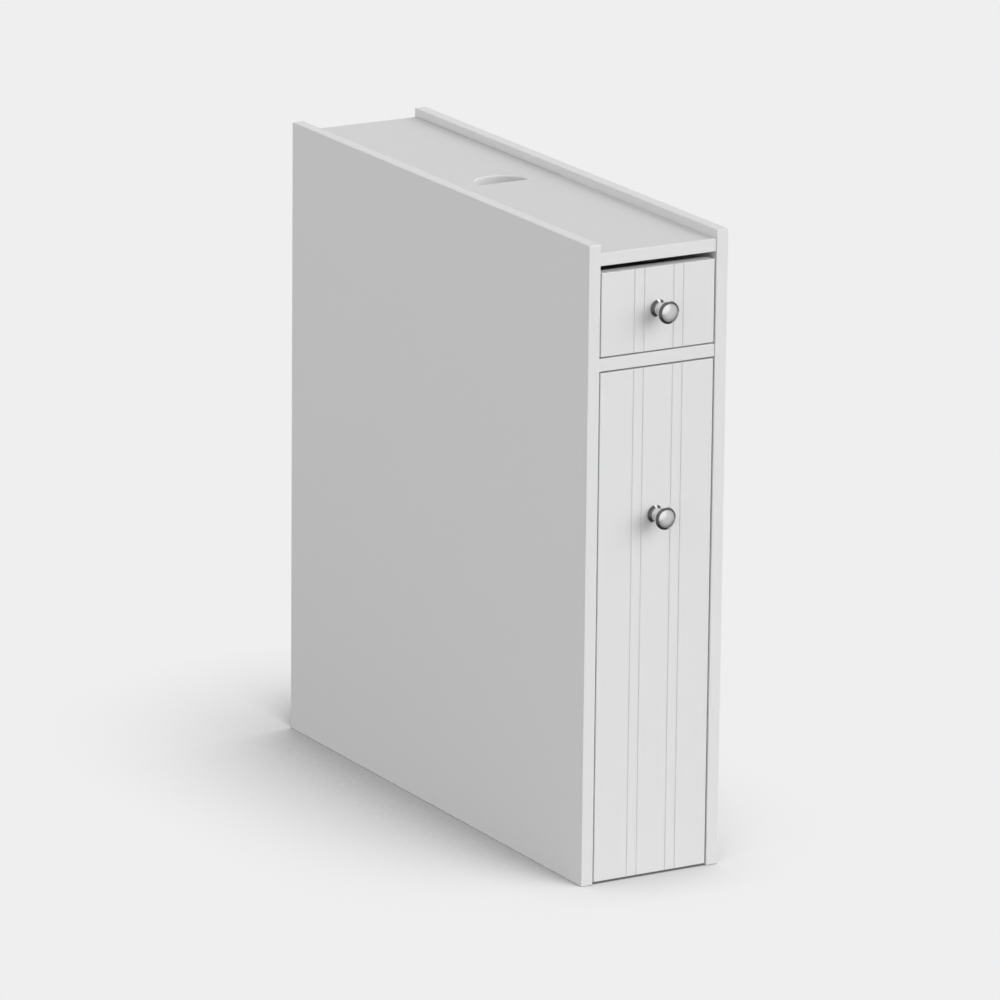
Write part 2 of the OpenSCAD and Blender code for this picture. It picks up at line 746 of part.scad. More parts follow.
// Pull-out
module at_shelf_joints() {
    both_sides() for (z = shelf_zs)
        translate([-shelf_fixing_x, front_back, z + board_t / 2])
            mirror([0, 0, 1]) rotate([0, 0, 90]) children();
}
module at_back_screws() {
    both_sides() for (z = shelf_zs)
        translate([-shelf_fixing_x, carriage_rear, z + board_t / 2]) tip_forward() children();
}
module at_guard_brads(z) {
    for (y = guard_brad_ys) translate([-half_front, y, z + board_t / 2]) tip_right() children();
}
module pull_out_front() {
    color(paint) in_cabinet() difference() {
        grooved_front([floor_gap, pull_out_top]);
        at_knob(pull_out_knob_z) knob_screw_cut();
        at_shelf_joints() bolt_cut();
    }
}
module pull_out_back() {
    color(paint) in_cabinet() difference() {
        board([-half_front, half_front], [carriage_back_y, carriage_rear], [base_z, carriage_back_top]);
        at_back_screws() screw_cut(board_t + rear_screw_bite);
    }
}
module shelf(z) {
    difference() {
        board([-half_shelf, half_shelf], [front_back, carriage_back_y], [z, z + board_t]);
        at_shelf_joints() cam_cuts();
        at_back_screws() screw_cut(board_t + rear_screw_bite);
        both_sides() at_guard_brads(z) brad(seat_gap);
    }
}
module pull_out_base() {
    color(paint) in_cabinet() difference() {
        shelf(base_z);
        both_sides() at_runner_screws() screw_cut(runner_h + screw_bite);
    }
}
module pull_out_middle_shelf() { color(paint) in_cabinet() shelf(middle_z); }
module pull_out_upper_shelf() { color(paint) in_cabinet() shelf(upper_z); }

module brad(gap = 0) {
    translate([0, 0, -brad_l - gap]) cylinder(d = brad_d + 2 * gap, h = brad_l + 2 * gap);
}
module guard(z) {
    difference() {
        board([-half_front, -half_shelf], [front_back, carriage_back_y], [z, z + guard_h]);
        at_guard_brads(z) brad(seat_gap);
    }
}
module left_base_guard() { color(paint) in_cabinet() guard(base_z); }
module right_base_guard() { color(paint) in_cabinet() mirrored() guard(base_z); }
module left_middle_guard() { color(paint) in_cabinet() guard(middle_z); }
module right_middle_guard() { color(paint) in_cabinet() mirrored() guard(middle_z); }
module left_upper_guard() { color(paint) in_cabinet() guard(upper_z); }
module right_upper_guard() { color(paint) in_cabinet() mirrored() guard(upper_z); }
module guard_brads() {
    color(steel) in_cabinet() both_sides() for (z = shelf_zs) at_guard_brads(z) brad();
}

// Grooved runner under the pull-out's base, its groove facing the side panel
runner_core_x = (runner_in + runner_out - runner_groove_d) / 2;
module at_runner_screws() {
    for (y = [groove_y, (groove_y + carriage_back_y) / 2, carriage_back_y - rail_screw_in])
        translate([-runner_core_x, y, runner_z]) tip_up() children();
}
module runner() {
    difference() {
        block([-runner_out, -runner_in], [front_back, carriage_rear], [runner_z, base_z]);
        block([-runner_out - overrun, runner_groove_d - runner_out], [groove_y, carriage_rear + overrun],
            [runner_groove_z, runner_groove_z + groove_h]);
        at_runner_screws() screw_cut(runner_h + screw_bite);
    }
}
module left_runner() { color(raw_board) in_cabinet() runner(); }
module right_runner() { color(raw_board) in_cabinet() mirrored() runner(); }
module runner_screws() {
    color(steel) in_cabinet() both_sides() at_runner_screws() screw(runner_h + screw_bite);
}

module pull_out_knob() { color(polished) in_cabinet() at_knob(pull_out_knob_z) knob(); }
module pull_out_knob_screw() { color(steel) in_cabinet() at_knob(pull_out_knob_z) knob_screw(); }
module pull_out_cam_locks() { color(zinc) in_cabinet() at_shelf_joints() cam_lock(); }
module pull_out_cam_bolts() { color(steel) in_cabinet() at_shelf_joints() cam_bolt(); }
module pull_out_back_screws() {
    color(steel) in_cabinet() at_back_screws() screw(board_t + rear_screw_bite);
}

left_side_panel();
right_side_panel();
fixed_top_panel();
divider_shelf();
compartment_wall();
bottom_panel();
back_panel();
rear_top_rail();
left_drawer_rail();
right_drawer_rail();
left_pull_out_rail();
right_pull_out_rail();
left_lid_rest();
right_lid_rest();
lid_rest_pads();
lid_pivot_pins();
lid_washers();
drawer_stop();
pull_out_stop();
cabinet_cam_locks();
cabinet_cam_bolts();
cabinet_dowels();
rail_screws();
stop_screws();
back_panel_nails();
flip_lid();
lid_bushes();
drawer_front();
drawer_left_side();
drawer_right_side();
drawer_back();
drawer_bottom();
drawer_knob();
drawer_knob_screw();
drawer_cam_locks();
drawer_cam_bolts();
drawer_dowels();
drawer_back_screws();
pull_out_front();
pull_out_back();
pull_out_base();
pull_out_middle_shelf();
pull_out_upper_shelf();
left_runner();
right_runner();
left_base_guard();
right_base_guard();
left_middle_guard();
right_middle_guard();
left_upper_guard();
right_upper_guard();
pull_out_knob();
pull_out_knob_screw();
pull_out_cam_locks();
pull_out_cam_bolts();
pull_out_back_screws();
runner_screws();
guard_brads();
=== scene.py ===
"""Looks of the narrow bathroom cabinet, in metres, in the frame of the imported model.

The boards that show, the two grooved fronts and the knobs are modelled here. Screws, nails and cam
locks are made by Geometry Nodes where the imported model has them. The other pieces keep their
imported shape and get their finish. Paint, foil, hardwood and metals are procedural materials.
"""

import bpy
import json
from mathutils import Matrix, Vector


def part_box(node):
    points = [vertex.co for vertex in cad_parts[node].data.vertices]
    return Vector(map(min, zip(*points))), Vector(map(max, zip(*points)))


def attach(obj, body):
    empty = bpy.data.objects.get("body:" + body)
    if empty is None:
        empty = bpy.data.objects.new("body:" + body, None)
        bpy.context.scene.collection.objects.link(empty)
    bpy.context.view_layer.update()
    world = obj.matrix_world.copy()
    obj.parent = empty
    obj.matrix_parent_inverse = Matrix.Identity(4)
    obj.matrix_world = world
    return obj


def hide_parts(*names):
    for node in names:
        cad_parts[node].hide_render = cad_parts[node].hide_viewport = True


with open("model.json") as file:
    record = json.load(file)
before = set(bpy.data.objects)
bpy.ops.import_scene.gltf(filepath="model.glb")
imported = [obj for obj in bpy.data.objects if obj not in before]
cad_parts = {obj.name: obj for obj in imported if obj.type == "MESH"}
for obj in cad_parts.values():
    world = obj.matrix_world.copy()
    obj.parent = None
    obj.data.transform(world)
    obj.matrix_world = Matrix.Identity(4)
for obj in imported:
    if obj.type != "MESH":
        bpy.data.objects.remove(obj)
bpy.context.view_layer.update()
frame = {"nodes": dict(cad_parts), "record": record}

import json
import math
from collections import defaultdict

import bmesh
import bpy
import numpy as np
from mathutils import Matrix, Vector

MM = 0.001
NEAR = 0.001 * MM  # two places closer than this are the same
NODES = frame["nodes"]
BODY_OF = {node: body for body, names in frame["record"]["behaviour"]["bodies"].items() for node in names}
SLOT_OF = {part["node"]: part["material_slot"] for part in frame["record"]["subparts"]}


# Node trees


class Link:
    """A node's output. Operators on it add Math nodes; an index gives another output of its node."""

    def __init__(self, tree, node, output=0):
        self.tree, self.node, self.socket = tree, node, node.outputs[output]

    def __getitem__(self, output):
        return Link(self.tree, self.node, output)

    def __add__(self, other):
        return self.tree.math("ADD", self, other)

    def __radd__(self, other):
        return self.tree.math("ADD", other, self)

    def __sub__(self, other):
        return self.tree.math("SUBTRACT", self, other)

    def __rsub__(self, other):
        return self.tree.math("SUBTRACT", other, self)

    def __mul__(self, other):
        return self.tree.math("MULTIPLY", self, other)

    def __rmul__(self, other):
        return self.tree.math("MULTIPLY", other, self)

    def __truediv__(self, other):
        return self.tree.math("DIVIDE", self, other)

    def __abs__(self):
        return self.tree.math("ABSOLUTE", self)

    def __neg__(self):
        return self.tree.math("MULTIPLY", self, -1.0)


class Tree:
    """A node tree, with one method that adds any node."""

    def __init__(self, tree):
        self.tree = tree

    def add(self, kind, settings=None, inputs=None, output=0):
        """Adds a node, sets it, then feeds its inputs; a list feeds several links into one input."""
        node = self.tree.nodes.new(kind)
        for name, value in (settings or {}).items():
            setattr(node, name, value)
        for key, value in (inputs or {}).items():
            for one in value if isinstance(value, list) else [value]:
                self.feed(node.inputs[key], one)
        return Link(self, node, output) if len(node.outputs) else node

    def feed(self, socket, value):
        if isinstance(value, Link):
            self.tree.links.new(value.socket, socket)
        elif socket.type == "RGBA" and len(value) == 3:
            socket.default_value = (*value, 1.0)
        else:
            socket.default_value = value

    def math(self, operation, *values):
        return self.add("ShaderNodeMath", {"operation": operation}, dict(enumerate(values)))

    def smooth(self, value, low, high):
        """0 below low, 1 above high, with a soft step between."""
        return self.add(
            "ShaderNodeMapRange", {"interpolation_type": "SMOOTHSTEP"},
            {"Value": value, "From Min": low, "From Max": high},
        )

    def mix(self, factor, first, second):
        """Colour that goes from the first to the second."""
        return self.add("ShaderNodeMix", {"data_type": "RGBA"}, {0: factor, 6: first, 7: second}, 2)

    def vector(self, x=0.0, y=0.0, z=0.0):
        return self.add("ShaderNodeCombineXYZ", None, {0: x, 1: y, 2: z})


class Finish(Tree):
    """A material on one Principled shader."""

    def __init__(self, name):
        self.material = bpy.data.materials.new(name)
        self.material.use_nodes = True
        super().__init__(self.material.node_tree)
        self.tree.nodes.clear()

    def place(self, stretch=(1, 1, 1)):
        """Object coordinates, in metres, stretched along each axis."""
        here = self.add("ShaderNodeTexCoord", output="Object")
        return self.add("ShaderNodeMapping", None, {"Vector": here, "Scale": stretch})

    def noise(self, place, scale, detail=2.0, roughness=0.5, distortion=0.0):
        """Noise about 1 / scale metres from patch to patch."""
        return self.add("ShaderNodeTexNoise", None, {
            "Vector": place, "Scale": scale, "Detail": detail, "Roughness": roughness,
            "Distortion": distortion,
        })

    def across(self, axis):
        """1 where the surface faces along the axis, 0 where it faces across it."""
        normal = self.add("ShaderNodeTexCoord", output="Normal")
        return abs(self.add("ShaderNodeSeparateXYZ", None, {0: normal}, "XYZ".index(axis)))

    def end(self, colour, roughness, height, depth, **constants):
        """The shader, its bump and the output. Depth is the bump's real height in metres."""
        bump = self.add("ShaderNodeBump", None, {"Strength": 1.0, "Distance": depth, "Height": height})
        inputs = {"Base Color": colour, "Roughness": roughness, "Normal": bump}
        for name, value in constants.items():
            inputs[name.replace("_", " ").title().replace("Ior", "IOR")] = value
        shader = self.add("ShaderNodeBsdfPrincipled", None, inputs)
        self.add("ShaderNodeOutputMaterial", None, {"Surface": shader})
        return self.material


# Finishes


def white_paint(axis):
    """Satin paint sprayed on fibreboard; axis is the board's thin direction."""
    finish = Finish("white_paint_" + axis.lower())
    place = finish.place()
    drift = finish.noise(place, scale=6.0)
    peel = finish.noise(place, scale=620.0, detail=1.0)
    grit = finish.noise(place, scale=2600.0, detail=1.0)
    cut_edge = finish.smooth(1 - finish.across(axis), 0.5, 0.95)
    fibre = finish.noise(place, scale=1500.0, detail=3.0, roughness=0.7, distortion=0.6)
    colour = finish.mix(drift, (0.795, 0.796, 0.798), (0.803, 0.803, 0.803))
    roughness = 0.42 + 0.05 * drift + 0.05 * grit - 0.2 * cut_edge
    height = 0.6 * peel + 0.15 * grit + 0.35 * fibre * cut_edge
    return finish.end(colour, roughness, height, depth=0.035 * MM, specular_ior_level=0.45)


def foiled_board(axis):
    """Thin hardboard with white foil on both faces and bare fibre at its edges."""
    finish = Finish("foiled_board_" + axis.lower())
    place = finish.place()
    fibre = finish.noise(place, scale=420.0, detail=5.0, roughness=0.65)
    weave = finish.noise(place, scale=1500.0, detail=1.0)
    bare = finish.smooth(1 - finish.across(axis), 0.5, 0.9)
    foil = finish.mix(finish.noise(place, scale=9.0), (0.745, 0.745, 0.738), (0.775, 0.775, 0.770))
    raw = finish.mix(fibre, (0.16, 0.095, 0.05), (0.34, 0.22, 0.13))
    colour = finish.mix(bare, foil, raw)
    roughness = 0.5 + 0.08 * weave + 0.3 * bare
    height = 0.3 * weave + fibre * bare
    return finish.end(colour, roughness, height, depth=0.06 * MM, specular_ior_level=0.4)


def planed_wood(axis):
    """Bare planed hardwood with its grain along the axis and paler rays across it."""
    finish = Finish("planed_wood_" + axis.lower())
    along = finish.place({"X": (0.06, 1, 1), "Y": (1, 0.06, 1), "Z": (1, 1, 0.06)}[axis])
    rings = finish.noise(along, scale=130.0, distortion=1.4)
    pores = finish.noise(along, scale=1700.0)
    flecks = finish.noise(finish.place((1, 0.35, 1)), scale=900.0, detail=0.0)
    end_grain = finish.smooth(finish.across(axis), 0.5, 0.9)
    board = finish.mix(finish.smooth(rings, 0.32, 0.68), (0.60, 0.40, 0.235), (0.71, 0.52, 0.335))
    fleck = finish.mix(finish.smooth(flecks, 0.62, 0.75) * 0.35, board, (0.79, 0.63, 0.44))
    streak = finish.mix(finish.smooth(pores, 0.58, 0.72) * 0.4, fleck, (0.45, 0.28, 0.15))
    colour = finish.mix(end_grain * 0.45, streak, (0.42, 0.27, 0.15))
    roughness = 0.56 + 0.1 * pores + 0.15 * end_grain
    return finish.end(colour, roughness, 0.5 * rings + pores, depth=0.05 * MM, specular_ior_level=0.35)


def polished_nickel():
    """Turned and polished nickel plate: faint rings of polish about each knob's axis."""
    finish = Finish("polished_nickel")
    turned = finish.add("ShaderNodeUVMap", {"uv_map": "turned"})
    along_profile = finish.add("ShaderNodeMapping", None, {"Vector": turned, "Scale": (3, 1400, 1)})
    rings = finish.noise(along_profile, scale=1.0)
    smear = finish.noise(finish.place(), scale=260.0, detail=3.0)
    colour = finish.mix(smear, (0.80, 0.80, 0.80), (0.86, 0.86, 0.86))
    roughness = 0.07 + 0.04 * rings + 0.04 * smear
    return finish.end(colour, roughness, rings, depth=0.0012 * MM, metallic=1.0)


def plated_steel():
    """Bright zinc plating on steel, with its faint blue and straw patches."""
    finish = Finish("plated_steel")
    place = finish.place()
    patches = finish.noise(place, scale=330.0, detail=3.0)
    grain = finish.noise(place, scale=5200.0)
    colour = finish.mix(finish.smooth(patches, 0.35, 0.65), (0.60, 0.625, 0.66), (0.69, 0.68, 0.64))
    return finish.end(colour, 0.24 + 0.16 * grain, grain, depth=0.006 * MM, metallic=1.0)


def cast_zinc():
    """Dull die-cast zinc: a fine cast skin with cloudy patches."""
    finish = Finish("cast_zinc")
    place = finish.place()
    cloud = finish.noise(place, scale=240.0, detail=4.0)
    skin = finish.noise(place, scale=3600.0)
    colour = finish.mix(cloud, (0.40, 0.41, 0.425), (0.56, 0.565, 0.575))
    return finish.end(colour, 0.40 + 0.15 * skin, skin + 0.4 * cloud, depth=0.014 * MM, metallic=1.0)


def moulded_nylon():
    """Natural nylon, faintly cloudy, with the mould's fine texture."""
    finish = Finish("moulded_nylon")
    place = finish.place()
    cloud = finish.noise(place, scale=300.0)
    texture = finish.noise(place, scale=4200.0, detail=1.0)
    colour = finish.mix(cloud, (0.74, 0.735, 0.69), (0.80, 0.795, 0.76))
    return finish.end(colour, 0.42 + 0.1 * texture, texture, depth=0.012 * MM, specular_ior_level=0.45)


def soft_bumper():
    """Soft clear-grey stick-on pad with dust caught on its dome."""
    finish = Finish("soft_bumper")
    place = finish.place()
    dust = finish.noise(place, scale=2400.0, detail=3.0)
    cloud = finish.noise(place, scale=500.0)
    colour = finish.mix(cloud, (0.55, 0.555, 0.55), (0.65, 0.65, 0.645))
    return finish.end(colour, 0.3 + 0.25 * dust, dust, depth=0.01 * MM, specular_ior_level=0.5)


PAINT = {axis: white_paint(axis) for axis in "XYZ"}
FOIL = {axis: foiled_board(axis) for axis in "YZ"}
WOOD = {axis: planed_wood(axis) for axis in "XY"}
PLAIN = {
    "polished_nickel": polished_nickel(), "steel": plated_steel(), "zinc": cast_zinc(),
    "nylon": moulded_nylon(), "bumper": soft_bumper(),
}


def thin_axis(node):
    """Letter of the axis along which the node is thinnest."""
    low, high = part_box(node)
    return "XYZ"[min(range(3), key=lambda i: high[i] - low[i])]


def finish_of(node):
    """The material that a node's slot and shape call for."""
    slot = SLOT_OF[node]
    if slot == "white_paint":
        return PAINT[thin_axis(node)]
    if slot == "hardboard":
        return FOIL[thin_axis(node)]
    if slot == "rail_wood":
        return WOOD["X" if "dowels" in node else "Y"]
    return PLAIN[slot]


# Meshes


def new_object(name, mesh):
    obj = bpy.data.objects.new(name, mesh)
    bpy.context.scene.collection.objects.link(obj)
    return obj


def mesh_from(bm, name):
    """Mesh of a bmesh whose faces are turned outwards."""
    if bm.calc_volume(signed=True) < 0:
        bmesh.ops.reverse_faces(bm, faces=bm.faces)
    mesh = bpy.data.meshes.new(name)
    bm.to_mesh(mesh)
    bm.free()
    return mesh


def evaluated(obj):
    """Plain mesh of an object with its modifiers, which are then taken off."""
    depsgraph = bpy.context.evaluated_depsgraph_get()
    mesh = bpy.data.meshes.new_from_object(obj.evaluated_get(depsgraph), depsgraph=depsgraph)
    obj.modifiers.clear()
    return mesh


def add_piece(name, mesh, node, smooth_angle=30):
    """A finished piece that stands for its node: smooth over rounded edges, flat on flat faces."""
    mesh.materials.clear()
    mesh.materials.append(finish_of(node))
    mesh.shade_smooth()
    mesh.set_sharp_from_angle(angle=math.radians(smooth_angle))
    obj = new_object(name, mesh)
    weighted = obj.modifiers.new("weighted", "WEIGHTED_NORMAL")
    weighted.keep_sharp = True
    obj.data = evaluated(obj)
    obj.data.name = name
    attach(obj, BODY_OF[node])
    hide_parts(node)


def sharp_edges(bm, angle=25):
    """Edges whose two faces turn by more than the angle, in degrees."""
    return [e for e in bm.edges if len(e.link_faces) == 2 and e.calc_face_angle() > math.radians(angle)]


def ease(bm, edges, radius, segments=3):
    """Rounds these edges."""
    bmesh.ops.bevel(
        bm, geom=edges, offset=radius, offset_type="OFFSET", segments=segments, profile=0.5,
        affect="EDGES", clamp_overlap=True,
    )


def prism(outline, axis, start, end):
    """Solid between two places on an axis; the outline is drawn on the two other axes."""
    index = "XYZ".index(axis)
    bm = bmesh.new()
    loops = []
    for place in (start, end):
        points = [list(p) for p in outline]
        for p in points:
            p.insert(index, place)
        loops.append([bm.verts.new(p) for p in points])
    bm.faces.new(loops[0])
    bm.faces.new(list(reversed(loops[1])))
    count = len(outline)
    for i in range(count):
        j = (i + 1) % count
        bm.faces.new((loops[0][j], loops[0][i], loops[1][i], loops[1][j]))
    bmesh.ops.recalc_face_normals(bm, faces=bm.faces)
    return bm


def block(low, high):
    """Square-edged box."""
    outline = [(low[0], low[1]), (high[0], low[1]), (high[0], high[1]), (low[0], high[1])]
    return prism(outline, "Z", low[2], high[2])


def arc(centre_x, centre_y, radius, start, end, steps):
    """Points on a circle, from one angle to another, in degrees."""
    angles = [math.radians(start + (end - start) * i / steps) for i in range(steps + 1)]
    return [(centre_x + radius * math.cos(a), centre_y + radius * math.sin(a)) for a in angles]


# Boards


EDGE_EASE = 0.6 * MM
CUT_OVERRUN = 1 * MM


def board(node):
    """Board of the node's own size with softened edges."""
    bm = block(*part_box(node))
    ease(bm, sharp_edges(bm), EDGE_EASE)
    return mesh_from(bm, node)


def cut(mesh, cutter):
    """The mesh less the cutter."""
    whole, tool = new_object("whole", mesh), new_object("cutter", mesh_from(cutter, "cutter"))
    difference = whole.modifiers.new("difference", "BOOLEAN")
    difference.operation, difference.object, difference.solver = "DIFFERENCE", tool, "EXACT"
    result = evaluated(whole)
    for obj in (whole, tool):
        bpy.data.objects.remove(obj)
    return result


def add_side_panel(node, inner):
    """Side panel with the rabbet that holds the back panel; inner is +1 if its inside faces +X."""
    low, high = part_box(node)
    rear_low, rear_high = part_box("back_panel")
    past_face = (high[0] if inner > 0 else low[0]) + inner * CUT_OVERRUN
    lap = rear_low[0] if inner > 0 else rear_high[0]
    rabbet = block(
        (min(past_face, lap), rear_low[1], low[2] - CUT_OVERRUN),
        (max(past_face, lap), high[1] + CUT_OVERRUN, rear_high[2]),
    )
    add_piece(node + "_board", cut(board(node), rabbet), node)


NOTCH_R = 27 * MM
NOTCH_STEPS = 56
NOTCH_EASE = 1.5 * MM
SEAM_EASE = 0.2 * MM


def add_lid():
    """Lid with a half-round finger notch in front and a round lower edge at its hinge."""
    low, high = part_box("flip_lid")
    front, rear, under, top = low[1], high[1], low[2], high[2]
    notch = arc(0, front, NOTCH_R, 180, 0, NOTCH_STEPS)
    outline = [(low[0], front), *notch, (high[0], front), (high[0], rear), (low[0], rear)]
    bm = prism(outline, "Z", under, top)

    def edges_at(holds):
        return [e for e in sharp_edges(bm) if all(holds(v.co) for v in e.verts)]

    hinge_side = edges_at(lambda p: abs(p.y - rear) < NEAR and abs(p.z - under) < NEAR)
    ease(bm, hinge_side, (top - under) / 2, segments=10)
    round_notch = NOTCH_R + 10 * NEAR
    notch_top = edges_at(lambda p: math.hypot(p.x, p.y - front) < round_notch and p.z > top - NEAR)
    ease(bm, notch_top, NOTCH_EASE, segments=6)
    ease(bm, edges_at(lambda p: abs(p.y - front) < NEAR), SEAM_EASE, segments=2)
    ease(bm, sharp_edges(bm), EDGE_EASE)
    add_piece("lid_board", mesh_from(bm, "lid_board"), "flip_lid")


# Geometry Nodes


class Recipe(Tree):
    """A Geometry Nodes tree with named inputs. Its result is realized and gets its material."""

    def __init__(self, name, sizes):
        super().__init__(bpy.data.node_groups.new(name, "GeometryNodeTree"))
        face = self.tree.interface
        face.new_socket("Geometry", in_out="OUTPUT", socket_type="NodeSocketGeometry")
        kinds = {"Geometry": "NodeSocketGeometry", "Finish": "NodeSocketMaterial", "Seed": "NodeSocketInt"}
        self.keys = {
            size: face.new_socket(
                size, in_out="INPUT", socket_type=kinds.get(size, "NodeSocketFloat")).identifier
            for size in ("Geometry", *sizes, "Finish")
        }
        self.given = self.add("NodeGroupInput")

    def __getitem__(self, size):
        return self.given[size]

    def end(self, geometry):
        solid = self.add("GeometryNodeRealizeInstances", None, {0: geometry})
        dressed = self.add("GeometryNodeSetMaterial", None, {"Geometry": solid, "Material": self["Finish"]})
        self.add("NodeGroupOutput", None, {0: dressed})

    def move(self, geometry, **inputs):
        return self.add("GeometryNodeTransform", None, {"Geometry": geometry, **inputs})

    def lift(self, geometry, height):
        return self.move(geometry, Translation=self.vector(z=height))

    def cone(self, sides, top, bottom, depth, foot):
        """Upright cone with its lower face at the height foot."""
        return self.lift(self.add("GeometryNodeMeshCone", None, {
            "Vertices": sides, "Radius Top": top, "Radius Bottom": bottom, "Depth": depth,
        }), foot)

    def cylinder(self, sides, radius, depth, top):
        """Upright cylinder with its upper face at the height top."""
        return self.lift(self.add("GeometryNodeMeshCylinder", None, {
            "Vertices": sides, "Radius": radius, "Depth": depth,
        }), top - depth / 2)

    def less(self, whole, *tools):
        """The whole less the tools, each of which must not cut into itself."""
        return self.add(
            "GeometryNodeMeshBoolean", {"operation": "DIFFERENCE", "solver": "EXACT"},
            {"Mesh 1": whole, "Mesh 2": list(tools)},
        )

    def join(self, *parts):
        return self.add("GeometryNodeJoinGeometry", None, {0: list(reversed(parts))})

    def make(self, mesh, values):
        """The mesh that the recipe makes from a mesh and a value for each named input."""
        obj = new_object("made", mesh)
        modifier = obj.modifiers.new("recipe", "NODES")
        modifier.node_group = self.tree
        for size, value in values.items():
            modifier[self.keys[size]] = value
        result = evaluated(obj)
        bpy.data.objects.remove(obj)
        return result


def groove_recipe():
    """Cuts two pairs of upright V grooves into a front's face."""
    recipe = Recipe("paired_grooves", (
        "Groove width", "Groove depth", "Groove pitch", "Pair span", "Shift", "Face", "Length", "Middle",
    ))
    rod = recipe.add("GeometryNodeMeshCube", None, {"Size": recipe.vector(1.0, 1.0, recipe["Length"])})
    diamond = recipe.move(rod, Rotation=(0, 0, math.radians(45)))
    half_diagonal = math.sqrt(0.5)
    to_width = recipe["Groove width"] / half_diagonal
    to_depth = recipe["Groove depth"] * 2 / half_diagonal
    floor_of_groove = recipe["Face"] - recipe["Groove depth"]
    cutter = recipe.move(
        diamond,
        Scale=recipe.vector(to_width, to_depth, 1.0),
        Translation=recipe.vector(recipe["Shift"], floor_of_groove, recipe["Middle"]),
    )

    def twice(geometry, distance):
        line = recipe.add(
            "GeometryNodeMeshLine", {"mode": "OFFSET"},
            {"Count": 2, "Start Location": recipe.vector(distance / -2), "Offset": recipe.vector(distance)},
        )
        return recipe.add("GeometryNodeInstanceOnPoints", None, {"Points": line, "Instance": geometry})

    pairs = twice(twice(cutter, recipe["Groove pitch"]), recipe["Pair span"])
    tools = recipe.add("GeometryNodeRealizeInstances", None, {0: pairs})
    recipe.end(recipe.less(recipe["Geometry"], tools))
    return recipe


def on_points(recipe, shape):
    """The shape at each point, its head towards the point's facing and turned by chance about it."""
    facing = recipe.add(
        "GeometryNodeInputNamedAttribute", {"data_type": "FLOAT_VECTOR"}, {"Name": "facing"})
    upright = recipe.add("FunctionNodeAlignRotationToVector", {"axis": "Z"}, {"Vector": facing})
    turn = recipe.add(
        "FunctionNodeRandomValue", {"data_type": "FLOAT"},
        {"Min": 0.0, "Max": math.pi / 2, "Seed": recipe["Seed"]}, 1,
    )
    spin = recipe.add("FunctionNodeAxisAngleToRotation", None, {"Axis": (0, 0, 1), "Angle": turn})
    rotation = recipe.add(
        "FunctionNodeRotateRotation", {"rotation_space": "LOCAL"}, {"Rotation": upright, "Rotate By": spin})
    return recipe.add("GeometryNodeInstanceOnPoints", None, {
        "Points": recipe["Geometry"], "Instance": shape, "Rotation": rotation,
    })


def cross_recess(recipe, width, length, depth):
    """Two crossed cutters that reach down from z = 0. They stay apart, because joined they overlap."""
    bar = recipe.add("GeometryNodeMeshCube", None, {"Size": recipe.vector(length, width, depth * 2)})
    return bar, recipe.move(bar, Rotation=(0, 0, math.pi / 2))


SCREW_HEAD_SIDES = 40
SCREW_CORE_SIDES = 16
THREAD_STEPS = 14
THREAD_SIDES = 3


def screw_recipe():
    """Screw with a cross recess: head, plain core and a wound thread, its head's face at z = 0."""
    sizes = ("Head diameter", "Head height", "Neck diameter", "Shank diameter", "Length", "Pitch", "Seed")
    recipe = Recipe("cross_screw", sizes)
    head_r, neck_r = recipe["Head diameter"] / 2, recipe["Neck diameter"] / 2
    head_h, shank_r = recipe["Head height"], recipe["Shank diameter"] / 2
    core_r, point_r, point_h = shank_r * 0.76, shank_r * 0.08, shank_r * 2
    core_h = recipe["Length"] - head_h - point_h
    recess = cross_recess(recipe, head_r * 0.26, head_r * 1.15, head_h * 0.7)
    head = recipe.less(recipe.cone(SCREW_HEAD_SIDES, head_r, neck_r, head_h, -head_h), *recess)
    core = recipe.cylinder(SCREW_CORE_SIDES, core_r, core_h, -head_h)
    point = recipe.cone(SCREW_CORE_SIDES, core_r, point_r, point_h, -recipe["Length"])
    spiral = recipe.add("GeometryNodeCurveSpiral", None, {
        "Resolution": THREAD_STEPS, "Rotations": core_h / recipe["Pitch"], "Start Radius": core_r,
        "End Radius": core_r, "Height": core_h,
    })
    ridge = recipe.add("GeometryNodeCurvePrimitiveCircle", {"mode": "RADIUS"}, {
        "Resolution": THREAD_SIDES, "Radius": shank_r - core_r,
    })
    wound = recipe.add("GeometryNodeCurveToMesh", None, {
        "Curve": spiral, "Profile Curve": ridge, "Fill Caps": True,
    })
    thread = recipe.lift(wound, -head_h - core_h)
    recipe.end(on_points(recipe, recipe.join(head, core, point, thread)))
    return recipe


NAIL_HEAD_SIDES = 24
NAIL_SIDES = 12


def nail_recipe():
    """Nail with a flat head and a pointed shank, its head's face at z = 0."""
    recipe = Recipe("flat_nail", ("Head diameter", "Head height", "Shank diameter", "Length", "Seed"))
    head_r, shank_r = recipe["Head diameter"] / 2, recipe["Shank diameter"] / 2
    head_h, point_h = recipe["Head height"], shank_r * 3
    rim_h = head_h * 0.3
    shank_h = recipe["Length"] - head_h - point_h
    recipe.end(on_points(recipe, recipe.join(
        recipe.cone(NAIL_HEAD_SIDES, head_r, head_r * 0.9, head_h - rim_h, -head_h),
        recipe.cone(NAIL_HEAD_SIDES, head_r * 0.86, head_r, rim_h, -rim_h),
        recipe.cylinder(NAIL_SIDES, shank_r, shank_h, -head_h),
        recipe.cone(NAIL_SIDES, shank_r, shank_r * 0.1, point_h, -recipe["Length"]),
    )))
    return recipe


CAM_SIDES = 56


